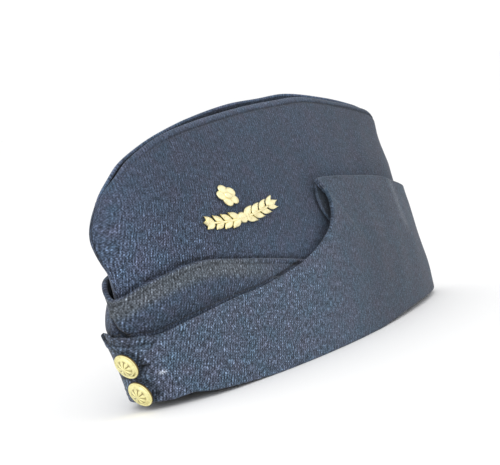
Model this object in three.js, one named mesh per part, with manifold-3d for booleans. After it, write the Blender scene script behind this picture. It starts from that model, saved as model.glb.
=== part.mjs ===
// A field-service garrison cap of blue-grey wool, standing on its lower edge.
// Millimetres, +Z up. The front of the cap faces -Y and the wearer's left is +X.
// The cap is made of two side panels with a sunken strip between their ridges, a small peak
// turned up at the front, and a curtain of two flaps that wraps round it all and is buttoned
// over itself at the front with two domed buttons. A two-piece badge sits on the left side.

import * as THREE from 'three';
import { mergeVertices } from 'three/addons/utils/BufferGeometryUtils.js';
import Module from 'manifold-3d';

const wasm = await Module();
wasm.setup();

// Driving sizes of the crown
const crownLength = 266;
const crownWidth = 68;
const ridgeHeight = 138;
const ridgeSpread = 10.4;
const crownCloth = 1.6;

// Driving sizes of the curtain, whose lower edge is folded in under the crown
const flapHeight = 91.6;
const curtainCloth = 2.2;
const hemFold = 1.5;
const hemRise = 9;
const tabReach = 10;
const tabRise = 3;
const tabFlare = 2.2;
const tabRounding = 1.5;
const underlapReach = 17;
const underlapDrop = 3;

// Driving sizes of the peak, the gusset, the buttons and the badge. A button faces forward, turned
// by buttonYaw towards the wearer's left and drooping by buttonDroop, in degrees.
const peakHeight = 67.5;
const peakCloth = 2.4;
const peakReach = 0.56;
const gussetCloth = 1.3;
const gussetDepth = 6;
const gussetSeat = 1.6;
const buttonDiameter = 14.5;
const buttonDome = 3.4;
const buttonRim = 1.1;
const shankDiameter = 2.6;
const buttonholeLength = 12.5;
const buttonholeWidth = 3.4;
const lowerButtonHeight = 10.2;
const buttonSpacing = 15.2;
const buttonYaw = -2;
const buttonDroop = 22;
const sprayWidth = 60;
const sprayHeight = 83.5;
const knotDiameter = 6.5;
const stemWidth = 1.3;
const leafLength = 9.6;
const leafWidth = 4.4;
const leafRoot = 1.2;
const rosetteDiameter = 13;
const badgeClearance = 1.1;
const badgeMetal = 1.3;

// Sewn layers lie this far apart
const gap = 0.35;

// Side view of the crown's end seams: `at` is a share of the seam's rise,
// `front` and `rear` are shares of crownLength behind the front of the crown's foot.
const endSeams = [
  { at: 0, front: 0.02, rear: 1 },
  { at: 0.12, front: 0.01, rear: 0.994 },
  { at: 0.33, front: -0.014, rear: 0.974 },
  { at: 0.52, front: -0.018, rear: 0.9585 },
  { at: 0.64, front: -0.026, rear: 0.95 },
  { at: 0.7, front: -0.04, rear: 0.9465 },
  { at: 0.76, front: -0.052, rear: 0.936 },
  { at: 0.82, front: -0.059, rear: 0.928 },
  { at: 0.88, front: -0.055, rear: 0.921 },
  { at: 0.96, front: -0.037, rear: 0.917 },
  { at: 1, front: -0.024, rear: 0.914 },
];

// Ridge of each side panel: `at` is a share of the way from front to rear, `rise` a share of
// ridgeHeight, and `lift` what the right-hand ridge stands higher, as a share of ridgeHeight.
const ridge = [
  { at: 0, rise: 0.773, lift: 0 },
  { at: 0.021, rise: 0.8116, lift: 0 },
  { at: 0.0587, rise: 0.8587, lift: 0 },
  { at: 0.0966, rise: 0.9014, lift: 0 },
  { at: 0.171, rise: 0.9428, lift: 0.003 },
  { at: 0.238, rise: 0.9638, lift: 0.01 },
  { at: 0.341, rise: 0.984, lift: 0.019 },
  { at: 0.4836, rise: 1, lift: 0.024 },
  { at: 0.594, rise: 0.997, lift: 0.028 },
  { at: 0.7, rise: 0.984, lift: 0.036 },
  { at: 0.839, rise: 0.9217, lift: 0.05 },
  { at: 0.938, rise: 0.874, lift: 0.048 },
  { at: 0.982, rise: 0.853, lift: 0.028 },
  { at: 1, rise: 0.84, lift: 0 },
];

// Lower edge of the cap: `lift` is how far it is off the ground, as a share of ridgeHeight.
const lowerEdge = [
  { at: 0, lift: 0.03 },
  { at: 0.05, lift: 0.025 },
  { at: 0.1, lift: 0.018 },
  { at: 0.19, lift: 0.005 },
  { at: 0.25, lift: 0 },
  { at: 0.59, lift: 0 },
  { at: 0.67, lift: 0.008 },
  { at: 0.76, lift: 0.018 },
  { at: 0.85, lift: 0.022 },
  { at: 1, lift: 0.017 },
];

// Outline of one flap: `at` is where a line of the cloth leaves the lower edge and `edge` where
// it meets the upper edge, both as shares of the way round from front to rear. `height` is a
// share of flapHeight. `low` and `high` are how far the flap stands off the crown there, in
// curtain cloths.
const flap = [
  { at: 0, edge: 0, height: 0.432, low: 1.6, high: 1.75 },
  { at: 0.03, edge: 0.03, height: 0.431, low: 1.6, high: 1.75 },
  { at: 0.07, edge: 0.07, height: 0.427, low: 1.6, high: 1.75 },
  { at: 0.114, edge: 0.114, height: 0.418, low: 1.6, high: 1.75 },
  { at: 0.2, edge: 0.2, height: 0.457, low: 1.6, high: 1.75 },
  { at: 0.3, edge: 0.3, height: 0.496, low: 1.6, high: 1.75 },
  { at: 0.388, edge: 0.389, height: 0.551, low: 1.6, high: 1.7 },
  { at: 0.445, edge: 0.439, height: 0.592, low: 1.6, high: 1.9 },
  { at: 0.5, edge: 0.483, height: 0.643, low: 1.55, high: 2.1 },
  { at: 0.55, edge: 0.516, height: 0.707, low: 1.35, high: 2.3 },
  { at: 0.595, edge: 0.533, height: 0.777, low: 1.15, high: 2.4 },
  { at: 0.633, edge: 0.541, height: 0.859, low: 1, high: 2.4 },
  { at: 0.665, edge: 0.541, height: 0.936, low: 0.87, high: 2.3 },
  { at: 0.69, edge: 0.5325, height: 1, low: 0.8, high: 2.1 },
  { at: 0.73, edge: 0.581, height: 0.974, low: 0.71, high: 1.75 },
  { at: 0.765, edge: 0.631, height: 0.936, low: 0.65, high: 1.2 },
  { at: 0.805, edge: 0.692, height: 0.89, low: 0.6, high: 1 },
  { at: 0.835, edge: 0.736, height: 0.854, low: 0.62, high: 1 },
  { at: 0.88, edge: 0.8, height: 0.806, low: 0.67, high: 1.3 },
  { at: 0.94, edge: 0.9, height: 0.765, low: 0.78, high: 1.7 },
  { at: 1, edge: 1, height: 0.747, low: 0.9, high: 2.1 },
];

// Upper lip of the peak: `at` is a share of the way round, `left` and `right` are its height on
// each side as shares of peakHeight.
const peakLip = [
  { at: 0, left: 0.868, right: 0.868 },
  { at: 0.02, left: 0.874, right: 0.885 },
  { at: 0.05, left: 0.887, right: 0.93 },
  { at: 0.103, left: 0.93, right: 1.0 },
  { at: 0.175, left: 0.975, right: 1.025 },
  { at: 0.225, left: 1, right: 1.02 },
  { at: 0.27, left: 0.9955, right: 1.0 },
  { at: 0.328, left: 0.936, right: 0.936 },
  { at: 0.403, left: 0.847, right: 0.847 },
  { at: 0.464, left: 0.757, right: 0.757 },
  { at: 0.56, left: 0.62, right: 0.62 },
];

// Bulge of the peak where it shows: `at` is a share of the way from the flap's upper edge to
// the peak's lip, and `out` is how far it stands off the crown, in peak cloths.
const peakBulge = [
  { at: 0, out: 0.1 },
  { at: 0.22, out: 0.9 },
  { at: 0.45, out: 1.35 },
  { at: 0.75, out: 1.1 },
  { at: 1, out: 0.45 },
];

// Smooth value of a table's column at a place along `at`
function read(table, column, place) {
  const last = table.length - 1;
  const at = THREE.MathUtils.clamp(place, table[0].at, table[last].at);
  let row = 0;
  while (row < last - 1 && at > table[row + 1].at) row += 1;
  const slope = (i) => {
    const before = table[Math.max(i - 1, 0)];
    const after = table[Math.min(i + 1, last)];
    return (after[column] - before[column]) / (after.at - before.at);
  };
  const step = table[row + 1].at - table[row].at;
  const t = (at - table[row].at) / step;
  const back = 1 - t;
  return table[row][column] * (1 + 2 * t) * back * back
    + table[row + 1][column] * (3 - 2 * t) * t * t
    + slope(row) * step * t * back * back
    - slope(row + 1) * step * t * t * back;
}

// Shape of the crown

// Share of the crown's length that lies in front of a place a given way round
const share = (turn) => (1 - Math.cos(Math.PI * turn)) / 2;

const edgeLift = (turn) => Math.max(read(lowerEdge, 'lift', share(turn)), 0) * ridgeHeight;
const crownFoot = (turn) => edgeLift(turn) + hemFold + gap;

function ridgeTop(side, turn) {
  const lift = side < 0 ? read(ridge, 'lift', share(turn)) : 0;
  return (read(ridge, 'rise', share(turn)) + lift) * ridgeHeight;
}

// Half of the crown's width: it narrows from the foot to the ridge and is fuller in its front
// half. The ends of the cap and of its ridges are the more pointed, the larger endPoint and
// ridgePoint are.
const endPoint = 1.05;
const ridgePoint = 1.4;

function halfWidth(turn, rise) {
  const across = Math.sin(Math.PI * turn);
  const fullness = 1 + 0.1 * Math.cos(Math.PI * turn);
  const narrowing = (1 - Math.max(rise, 0) ** 1.7) ** 0.75;
  return crownWidth / 2 * narrowing * fullness * across ** endPoint
    + ridgeSpread / 2 * Math.max(rise, 0) * across ** ridgePoint;
}

// A place on the crown's face. A turn below 0 or over 1 carries on round the other side.
function onCrown(side, turn, rise) {
  const crosses = turn < 0 || turn > 1;
  const near = crosses ? -side : side;
  const way = turn < 0 ? -turn : (turn > 1 ? 2 - turn : turn);
  const front = read(endSeams, 'front', rise) * crownLength;
  const rear = read(endSeams, 'rear', rise) * crownLength;
  return new THREE.Vector3(
    near * (gap / 2 + halfWidth(way, Math.min(rise, 1))),
    THREE.MathUtils.lerp(front, rear, share(way)),
    THREE.MathUtils.lerp(crownFoot(way), ridgeTop(near, way), rise),
  );
}

// The crown's outward direction at a place
function crownFacing(side, turn, rise) {
  const step = 0.004;
  const along = onCrown(side, turn + step, rise).sub(onCrown(side, turn - step, rise));
  const up = onCrown(side, turn, Math.min(rise + step, 1)).sub(onCrown(side, turn, rise - step));
  return along.cross(up).multiplyScalar(side).normalize();
}

// A place at a given height above the ground, standing off the crown's face on the level
function around(side, turn, height, off) {
  const way = Math.abs(turn);
  const near = turn < 0 ? -side : side;
  const rise = (height - crownFoot(way)) / (ridgeTop(near, way) - crownFoot(way));
  const facing = crownFacing(side, turn, rise).setZ(0).normalize();
  const place = onCrown(side, turn, rise).addScaledVector(facing, off);
  return place.setZ(height);
}

// Making solids

function toSolid(geometry) {
  const bare = geometry.clone();
  bare.deleteAttribute('normal');
  bare.deleteAttribute('uv');
  const welded = mergeVertices(bare, 1e-4);
  return new wasm.Manifold(new wasm.Mesh({
    numProp: 3,
    vertProperties: new Float32Array(welded.attributes.position.array),
    triVerts: new Uint32Array(welded.index.array),
  }));
}

function toGeometry(solid) {
  const mesh = solid.getMesh();
  const geometry = new THREE.BufferGeometry();
  geometry.setAttribute('position', new THREE.BufferAttribute(mesh.vertProperties, 3));
  geometry.setIndex(new THREE.BufferAttribute(mesh.triVerts, 1));
  geometry.computeVertexNormals();
  return geometry;
}

// Closed cloth between two grids of places, columns of rows, that lie face to face
function cloth(outside, inside) {
  const columns = outside.length;
  const rows = outside[0].length;
  const places = [...outside.flat(), ...inside.flat()];
  const outer = (i, j) => i * rows + j;
  const inner = (i, j) => (columns + i) * rows + j;
  const index = [];
  const quad = (a, b, c, d) => index.push(a, b, c, a, c, d);
  for (let i = 0; i < columns - 1; i += 1) {
    for (let j = 0; j < rows - 1; j += 1) {
      quad(outer(i, j), outer(i + 1, j), outer(i + 1, j + 1), outer(i, j + 1));
      quad(inner(i, j), inner(i, j + 1), inner(i + 1, j + 1), inner(i + 1, j));
    }
    quad(outer(i, 0), inner(i, 0), inner(i + 1, 0), outer(i + 1, 0));
    quad(outer(i, rows - 1), outer(i + 1, rows - 1), inner(i + 1, rows - 1), inner(i, rows - 1));
  }
  for (let j = 0; j < rows - 1; j += 1) {
    quad(outer(0, j), outer(0, j + 1), inner(0, j + 1), inner(0, j));
    const last = columns - 1;
    quad(outer(last, j), inner(last, j), inner(last, j + 1), outer(last, j + 1));
  }
  const numbers = places.flatMap((place) => place.toArray());
  const geometry = new THREE.BufferGeometry();
  geometry.setAttribute('position', new THREE.Float32BufferAttribute(numbers, 3));
  geometry.setIndex(index);
  return facingOut(geometry);
}

function facingOut(geometry) {
  const at = geometry.attributes.position;
  const { array } = geometry.index;
  const [a, b, c] = [new THREE.Vector3(), new THREE.Vector3(), new THREE.Vector3()];
  let volume = 0;
  for (let i = 0; i < array.length; i += 3) {
    a.fromBufferAttribute(at, array[i]);
    b.fromBufferAttribute(at, array[i + 1]);
    c.fromBufferAttribute(at, array[i + 2]);
    volume += a.dot(b.cross(c));
  }
  if (volume < 0) {
    for (let i = 0; i < array.length; i += 3) {
      [array[i], array[i + 1]] = [array[i + 1], array[i]];
    }
  }
  return geometry;
}

const steps = (from, to, count) => Array.from(
  { length: count + 1 },
  (_, i) => THREE.MathUtils.lerp(from, to, i / count),
);

// Places along a table, with each stretch between two rows split evenly
function placesAlong(table, parts) {
  const between = table.slice(1).flatMap((row, i) => steps(table[i].at, row.at, parts).slice(1));
  return [table[0].at, ...between];
}

function named(name, geometry, material) {
  const mesh = new THREE.Mesh(geometry, material);
  mesh.name = name;
  return mesh;
}

const blueCloth = () => new THREE.MeshStandardMaterial({ color: 0x525d6e, roughness: 0.95, metalness: 0 });
const gilt = () => new THREE.MeshStandardMaterial({ color: 0xd9bd62, roughness: 0.32, metalness: 1 });

// One side panel of the crown, from its foot up to its ridge, where its rows are closer
function crownPanel(side) {
  const columns = steps(0, 1, 32);
  const rows = steps(1, 0, 9).map((down) => 1 - down ** 1.6);
  const seam = gap / 2;
  const place = (turn, rise, off) => {
    const at = onCrown(side, turn, rise).addScaledVector(crownFacing(side, turn, rise), off);
    at.x = side * Math.max(side * at.x, seam);
    return at;
  };
  const outside = columns.map((turn) => rows.map((rise) => place(turn, rise, 0)));
  const inside = columns.map((turn) => rows.map((rise) => place(turn, rise, -crownCloth)));
  return cloth(outside, inside);
}

// The strip that closes the crown's top, folded down between the two ridges as far as they part
function gusset() {
  const least = crownCloth + gap;
  const start = Math.asin((least / (ridgeSpread / 2)) ** (1 / ridgePoint)) / Math.PI;
  const end = 1 - start;
  const columns = steps(start, end, 26);
  const folds = [-1, -0.55, 0, 0.55, 1];
  const seatRise = 1 - gussetSeat / ridgeHeight;
  const inward = crownCloth + 2 * gap;
  const sewnEdge = (side, turn) => (
    onCrown(side, turn, seatRise).addScaledVector(crownFacing(side, turn, seatRise), -inward)
  );
  const layer = (turn, down) => folds.map((across) => {
    const edge = sewnEdge(across < 0 ? -1 : 1, turn);
    const middle = (sewnEdge(1, turn).z + sewnEdge(-1, turn).z) / 2;
    const level = THREE.MathUtils.lerp(middle, edge.z, Math.abs(across));
    const fade = Math.sin(Math.PI * (turn - start) / (end - start)) ** 0.5;
    const sink = gussetDepth * fade * (1 - Math.abs(across) ** 1.5);
    return new THREE.Vector3(across * Math.abs(edge.x), edge.y, level - sink - down);
  });
  return cloth(
    columns.map((turn) => layer(turn, 0)),
    columns.map((turn) => layer(turn, gussetCloth)),
  );
}

// The curtain

const overlap = curtainCloth + gap;
const smooth = THREE.MathUtils.smoothstep;

// How far the flap's inner face stands off the crown, a share `up` of the way to its upper edge
function standOff(at, up) {
  return THREE.MathUtils.lerp(read(flap, 'low', at), read(flap, 'high', at), up * up) * curtainCloth;
}

// Way round that a length along the front of the cap takes
const reachTurn = (length) => (length / (crownWidth / 2)) ** (1 / endPoint) / Math.PI;

// A line up the flap from its lower edge to its upper edge, at a distance off the crown
function flapLine(side, at, rows, off) {
  const edge = read(flap, 'edge', at);
  const top = read(flap, 'height', at) * flapHeight;
  return rows.map((up) => {
    const way = THREE.MathUtils.lerp(at, edge, up);
    const height = THREE.MathUtils.lerp(edgeLift(at), top, up);
    return around(side, way, height, standOff(at, up) + off);
  });
}

// The whole flap of one side, with its lower edge folded in under the crown's foot
function hemmedFlap(side, extra) {
  const columns = placesAlong(flap, 2);
  const rows = steps(1, 0, 5);
  const wallRows = rows.slice(0, -1);
  const lipIn = -(crownCloth + gap + hemFold);
  const lipOut = -(crownCloth + gap);
  const outside = [];
  const inside = [];
  columns.forEach((at) => {
    const low = edgeLift(at);
    const more = extra(at);
    const corner = standOff(at, 0) + more;
    outside.push([
      ...flapLine(side, at, wallRows, curtainCloth + more),
      around(side, at, low, corner + curtainCloth),
      around(side, at, low, lipIn),
      around(side, at, low + hemRise, lipIn),
    ]);
    inside.push([
      ...flapLine(side, at, wallRows, more),
      around(side, at, low + hemFold, corner),
      around(side, at, low + hemFold, lipOut),
      around(side, at, low + hemRise, lipOut),
    ]);
  });
  return cloth(outside, inside);
}

// The end of a flap that carries on past the middle of the front. Its upper corner stands higher by
// `lift`, curls away from the cap by `flare` and is rounded off by `rounding`.
function flapEnd(side, reach, foot, extra, lift, flare, rounding) {
  const end = reachTurn(reach);
  const columns = steps(0.03, -end, 8);
  const rows = [0, 0.3, 0.6, 0.75, 0.85, 0.93, 1];
  const line = (at, depth) => rows.map((up) => {
    const way = Math.abs(at);
    const corner = lift * smooth(-at, 0, end) - rounding * smooth(-at, 0.6 * end, end) ** 2;
    const top = read(flap, 'height', way) * flapHeight + corner;
    const height = THREE.MathUtils.lerp(edgeLift(way) + foot, top, up);
    const curl = flare * smooth(-at, 0, end) * up ** 6;
    return around(side, at, height, standOff(way, up) + depth + extra + curl);
  });
  return cloth(
    columns.map((at) => line(at, curtainCloth)),
    columns.map((at) => line(at, 0)),
  );
}

// Frame of a button: it stands off the outer face of the buttoned end just enough to droop
function buttonSeat(turn, height) {
  const up = (height - edgeLift(0)) / (read(flap, 'height', 0) * flapHeight - edgeLift(0));
  const rise = (height - crownFoot(0)) / (ridgeTop(1, 0) - crownFoot(0));
  const yaw = THREE.MathUtils.degToRad(buttonYaw);
  const droop = THREE.MathUtils.degToRad(buttonDroop);
  const facing = new THREE.Vector3(Math.sin(yaw), -Math.cos(yaw), -Math.tan(droop)).normalize();
  const lean = facing.angleTo(crownFacing(1, turn, rise));
  const proud = buttonDiameter / 2 * Math.sin(lean) + 2 * gap;
  const seat = around(1, turn, height, standOff(0, up) + overlap + curtainCloth + proud);
  const across = new THREE.Vector3(1, 0, 0).projectOnPlane(facing).normalize();
  const frame = new THREE.Matrix4().makeBasis(across, facing.clone().cross(across), facing);
  return { frame: frame.setPosition(seat), proud };
}

const buttonSeats = [
  { name: 'button_upper', turn: 0.008, height: lowerButtonHeight + buttonSpacing },
  { name: 'button_lower', turn: 0.018, height: lowerButtonHeight },
];

// Slit that a button's shank passes through, from the shank towards the wearer's left
function buttonhole(seat) {
  const radius = buttonholeWidth / 2;
  const run = buttonholeLength - buttonholeWidth;
  const outline = new THREE.Shape();
  outline.absarc(0, 0, radius, Math.PI / 2, 1.5 * Math.PI, false);
  outline.absarc(run, 0, radius, -Math.PI / 2, Math.PI / 2, false);
  const depth = 3 * curtainCloth;
  const slit = new THREE.ExtrudeGeometry(outline, {
    depth: 2 * depth,
    bevelEnabled: false,
    curveSegments: 3,
  });
  slit.translate(0, 0, -depth);
  slit.applyMatrix4(seat.frame);
  return toSolid(slit);
}

// The left flap lies over the other's end, and past it comes down onto the crown: it starts to
// and has done so at these multiples of the underlap's reach
const settleStart = 1.15;
const settleEnd = 1.9;

function leftCurtain() {
  const under = reachTurn(underlapReach);
  const over = (at) => overlap * (1 - smooth(at, settleStart * under, settleEnd * under));
  const end = flapEnd(1, tabReach, 0, overlap, tabRise, tabFlare, tabRounding);
  let solid = toSolid(hemmedFlap(1, over)).add(toSolid(end));
  buttonSeats.forEach(({ turn, height }) => {
    solid = solid.subtract(buttonhole(buttonSeat(turn, height)));
  });
  return toGeometry(solid);
}

function rightCurtain() {
  const end = flapEnd(-1, underlapReach, hemFold + gap, 0, -underlapDrop, 0, 0);
  return toGeometry(toSolid(hemmedFlap(-1, () => 0)).add(toSolid(end)));
}

// The peak, turned up between the crown and the curtain
function peak() {
  const columns = steps(-peakReach, peakReach, 44);
  const root = 3;
  const fullShow = 20;
  const showing = steps(0, 1, 4);
  const line = (turn, depth) => {
    const way = Math.abs(turn);
    const lip = read(peakLip, turn < 0 ? 'right' : 'left', way) * peakHeight;
    const flapTop = read(flap, 'height', way) * flapHeight + hemFold;
    const shows = smooth(lip - flapTop, 0, fullShow);
    const from = Math.min(flapTop, lip - fullShow / 2);
    const base = crownFoot(way) + root;
    const hidden = [0, 0.33, 0.67].map((up) => (
      around(1, turn, THREE.MathUtils.lerp(base, from, up), gap + depth)
    ));
    const shown = showing.map((up) => {
      const off = gap + shows * read(peakBulge, 'out', up) * peakCloth;
      return around(1, turn, THREE.MathUtils.lerp(from, lip, up), off + depth);
    });
    return [...hidden, ...shown];
  };
  return cloth(
    columns.map((turn) => line(turn, peakCloth)),
    columns.map((turn) => line(turn, 0)),
  );
}

// A domed button with a raised rim and a plain shank that ends just above the underlap
function button(seat) {
  const radius = buttonDiameter / 2;
  const shank = shankDiameter / 2;
  const reach = seat.proud + curtainCloth - gap;
  const profile = [
    [0, -reach],
    [shank, -reach],
    [shank, 0],
    [radius - 0.5, 0],
    [radius, 0.45],
    [radius, buttonRim],
    [radius - 0.5, buttonRim + 0.35],
    [radius - 1.1, buttonRim + 0.15],
    [radius * 0.68, buttonRim + 0.62 * (buttonDome - buttonRim)],
    [radius * 0.36, buttonRim + 0.91 * (buttonDome - buttonRim)],
    [0, buttonDome],
  ];
  const turned = new THREE.LatheGeometry(profile.map(([x, y]) => new THREE.Vector2(x, y)), 24);
  turned.rotateX(Math.PI / 2);
  turned.applyMatrix4(seat.frame);
  return toGeometry(toSolid(turned));
}

// The badge: its two pieces sit at these shares of the way round from front to rear

const sprayTurn = 0.372;
const rosetteTurn = 0.368;

// Lays a flat shape on the left side of the crown: its x runs rearward and its y runs up
function layOnCrown(geometry, turn, height, tilt) {
  geometry.rotateZ(tilt);
  const centre = around(1, turn, height, 0);
  const turnStep = 0.01;
  const perTurn = around(1, turn + turnStep, height, 0).distanceTo(centre) / turnStep;
  const perRise = around(1, turn, height + 1, 0).distanceTo(centre);
  const at = geometry.attributes.position;
  const spot = new THREE.Vector3();
  for (let i = 0; i < at.count; i += 1) {
    spot.fromBufferAttribute(at, i);
    const laid = around(1, turn + spot.x / perTurn, height + spot.y / perRise, gap + spot.z);
    at.setXYZ(i, laid.x, laid.y, laid.z);
  }
  return geometry;
}

// A leaf with a raised rib, which grows from a stem with its root inside the stem
function leaf(x, y, turn, size) {
  const tip = 0.12;
  const edge = badgeMetal * 0.45;
  const columns = [0, 0.2, 0.45, 0.75, 1];
  const across = [-1, 0, 1];
  const layer = (height) => columns.map((along) => across.map((way) => {
    const half = leafWidth / 2 * Math.max(Math.sin(Math.PI * along ** 0.85), tip);
    return new THREE.Vector3(leafLength * along - leafRoot, way * half, height(way)).multiplyScalar(size);
  }));
  const shape = cloth(layer((way) => (way === 0 ? badgeMetal : edge)), layer(() => 0));
  shape.rotateZ(turn);
  shape.translate(x, y, 0);
  return shape;
}

function disc(x, y, diameter, thickness, sides) {
  const shape = new THREE.CylinderGeometry(diameter / 2 * 0.8, diameter / 2, thickness, sides);
  shape.rotateX(Math.PI / 2);
  shape.translate(x, y, thickness / 2);
  return shape;
}

const fuse = (shapes) => toGeometry(shapes.map(toSolid).reduce((all, next) => all.add(next)));

// Two leafy sprigs that spread from a knot on stems that rise a little towards their tips
function spray() {
  const bend = 0.004;
  const stemHeight = (x) => bend * x * x - 1;
  const pieces = [disc(0, stemHeight(0), knotDiameter, badgeMetal * 1.5, 12)];
  const reach = sprayWidth / 2 - leafLength * 0.9;
  const pairs = 4;
  const firstPair = 2.4;
  [-1, 1].forEach((way) => {
    for (let i = 0; i < pairs; i += 1) {
      const x = firstPair + (reach - firstPair) * i / (pairs - 1);
      const size = 1 - 0.05 * i;
      const heading = Math.atan(2 * bend * x);
      [0.62, -0.5].forEach((spread) => {
        const turn = way > 0 ? heading + spread : Math.PI - heading - spread;
        pieces.push(leaf(way * x, stemHeight(x), turn, size));
      });
    }
    const tip = leaf(way * reach, stemHeight(reach), way > 0 ? 0.2 : Math.PI - 0.2, 0.95);
    const stem = new THREE.BoxGeometry(reach, stemWidth, badgeMetal * 0.8, 5);
    stem.translate(way * reach / 2, 0, badgeMetal * 0.4);
    const at = stem.attributes.position;
    for (let i = 0; i < at.count; i += 1) at.setY(i, at.getY(i) + stemHeight(at.getX(i)));
    pieces.push(tip, stem);
  });
  return layOnCrown(fuse(pieces), sprayTurn, sprayHeight, 0.02);
}

// A small five-petalled rosette, just clear of the leaves, which rise by about a leaf's width
function rosette() {
  const height = sprayHeight + leafWidth + badgeClearance + rosetteDiameter / 2;
  const petals = 5;
  const petal = rosetteDiameter * 0.4;
  const ring = (rosetteDiameter - petal) / 2;
  const pieces = [disc(0, 0, petal, badgeMetal * 1.7, 10)];
  for (let i = 0; i < petals; i += 1) {
    const turn = Math.PI / 2 + 2 * Math.PI * i / petals;
    pieces.push(disc(ring * Math.cos(turn), ring * Math.sin(turn), petal * 1.15, badgeMetal, 9));
  }
  return layOnCrown(fuse(pieces), rosetteTurn, height, 0.1);
}

const cap = new THREE.Group();
cap.add(
  named('crown_left', crownPanel(1), blueCloth()),
  named('crown_right', crownPanel(-1), blueCloth()),
  named('crown_gusset', gusset(), blueCloth()),
  named('peak', peak(), blueCloth()),
  named('curtain_left', leftCurtain(), blueCloth()),
  named('curtain_right', rightCurtain(), blueCloth()),
  named('badge_spray', spray(), gilt()),
  named('badge_rosette', rosette(), gilt()),
);
buttonSeats.forEach(({ name, turn, height }) => {
  cap.add(named(name, button(buttonSeat(turn, height)), gilt()));
});

// The origin is on the ground under the middle of the cap
const middle = new THREE.Box3().setFromObject(cap).getCenter(new THREE.Vector3());
cap.position.set(-middle.x, -middle.y, 0);

export default cap;
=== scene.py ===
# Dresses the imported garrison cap: soft wool cloth, seams and stitches, gilt badge and buttons.
# Shapes are worked out in millimetres as the solids are, and turned into metres for Blender.
# The front of the cap faces -Y, the wearer's left is +X and the ground is z = 0.

import math

import bpy
import numpy as np
from mathutils import Matrix, Vector


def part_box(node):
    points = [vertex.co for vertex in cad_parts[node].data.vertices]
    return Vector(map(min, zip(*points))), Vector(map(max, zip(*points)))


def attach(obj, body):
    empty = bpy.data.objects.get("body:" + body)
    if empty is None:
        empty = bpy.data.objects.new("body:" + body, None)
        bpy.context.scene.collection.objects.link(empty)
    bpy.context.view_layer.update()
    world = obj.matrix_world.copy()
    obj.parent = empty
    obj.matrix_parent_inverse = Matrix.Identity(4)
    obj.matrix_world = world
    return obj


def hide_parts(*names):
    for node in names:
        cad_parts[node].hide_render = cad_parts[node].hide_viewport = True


MM = 0.001

# Driving sizes, the same as the solids have: lengths in millimetres, angles in degrees, and
# turns from 0 at the middle of the front to 1 at the middle of the rear
CLEARANCE = 0.35

CROWN_LENGTH = 266
CROWN_WIDTH = 68
CROWN_CLOTH = 1.6
RIDGE_HEIGHT = 138
RIDGE_SPREAD = 10.4
FRONT_FULLNESS = 0.1
NARROWING_POWER = 1.7
NARROWING_ROOT = 0.75
END_POINT = 1.05
RIDGE_POINT = 1.4

GUSSET_CLOTH = 1.3
GUSSET_DEPTH = 6
GUSSET_SEAT = 1.6

PEAK_HEIGHT = 67.5
PEAK_CLOTH = 2.4
PEAK_REACH = 0.56
PEAK_FOOT_RISE = 3

FLAP_HEIGHT = 91.6
CURTAIN_CLOTH = 2.2
FACING_CLOTH = 1.1
HEM_FOLD = 1.5
HEM_RISE = 9
TAB_REACH = 10
TAB_RISE = 3
TAB_FLARE = 2.2
TAB_ROUNDING = 1.5
UNDERLAP_REACH = 17
UNDERLAP_DROP = 3
OVERLAP = CURTAIN_CLOTH + CLEARANCE

BUTTON_DIAMETER = 14.5
BUTTON_DOME = 3.4
BUTTON_RIM = 1.1
BUTTON_YAW = -2
BUTTON_DROOP = 22
BUTTON_SPACING = 15.2
LOWER_BUTTON_HEIGHT = 10.2

BADGE_METAL = 1.3
SPRAY_WIDTH = 60
SPRAY_HEIGHT = 83.5
SPRAY_TURN = 0.372
SPRAY_TILT = 1.146
KNOT_DIAMETER = 6.5
STEM_WIDTH = 1.3
STEM_BEND = 0.004
LEAF_LENGTH = 9.6
LEAF_WIDTH = 4.4
LEAF_PAIRS = 4
FIRST_PAIR = 2.4
ROSETTE_DIAMETER = 13
ROSETTE_HEIGHT = 95.5
ROSETTE_TURN = 0.368
ROSETTE_TILT = 5.73


def table(columns, rows):
    """Rows of numbers as named columns."""
    return dict(zip(columns.split(), np.array(rows, float).T))


# Side view of the crown's end seams, up the seam and in crown lengths
END_SEAMS = table("at front rear", [
    (0, 0.02, 1), (0.12, 0.01, 0.994), (0.33, -0.014, 0.974), (0.52, -0.018, 0.9585),
    (0.64, -0.026, 0.952), (0.7, -0.04, 0.9495), (0.76, -0.052, 0.942), (0.82, -0.059, 0.935),
    (0.88, -0.055, 0.931), (0.96, -0.037, 0.93), (1, -0.024, 0.92),
])

# Ridge of a side panel, and how much higher each side's own stands, in ridge heights
RIDGE = table("at rise left right", [
    (0, 0.773, 0, 0), (0.021, 0.8116, 0, 0), (0.0587, 0.8587, -0.001, 0),
    (0.0966, 0.9014, 0.001, 0), (0.171, 0.9428, 0.009, 0.003), (0.238, 0.9638, 0.013, 0.01),
    (0.341, 0.984, 0.01, 0.019), (0.4836, 1, 0.004, 0.024), (0.594, 0.997, 0.004, 0.023),
    (0.7, 0.984, 0.007, 0.03), (0.839, 0.9217, 0.016, 0.04), (0.938, 0.874, 0.017, 0.032),
    (0.982, 0.853, 0.012, 0.014), (1, 0.84, 0, 0),
])

# How far the lower edge is off the ground, in ridge heights
LOWER_EDGE = table("at lift", [
    (0, 0.03), (0.018, 0.027), (0.045, 0.035), (0.072, 0.0245), (0.1, 0.018), (0.19, 0.005),
    (0.25, 0), (0.59, 0), (0.67, 0.008), (0.76, 0.018), (0.85, 0.022), (1, 0.017),
])

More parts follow.
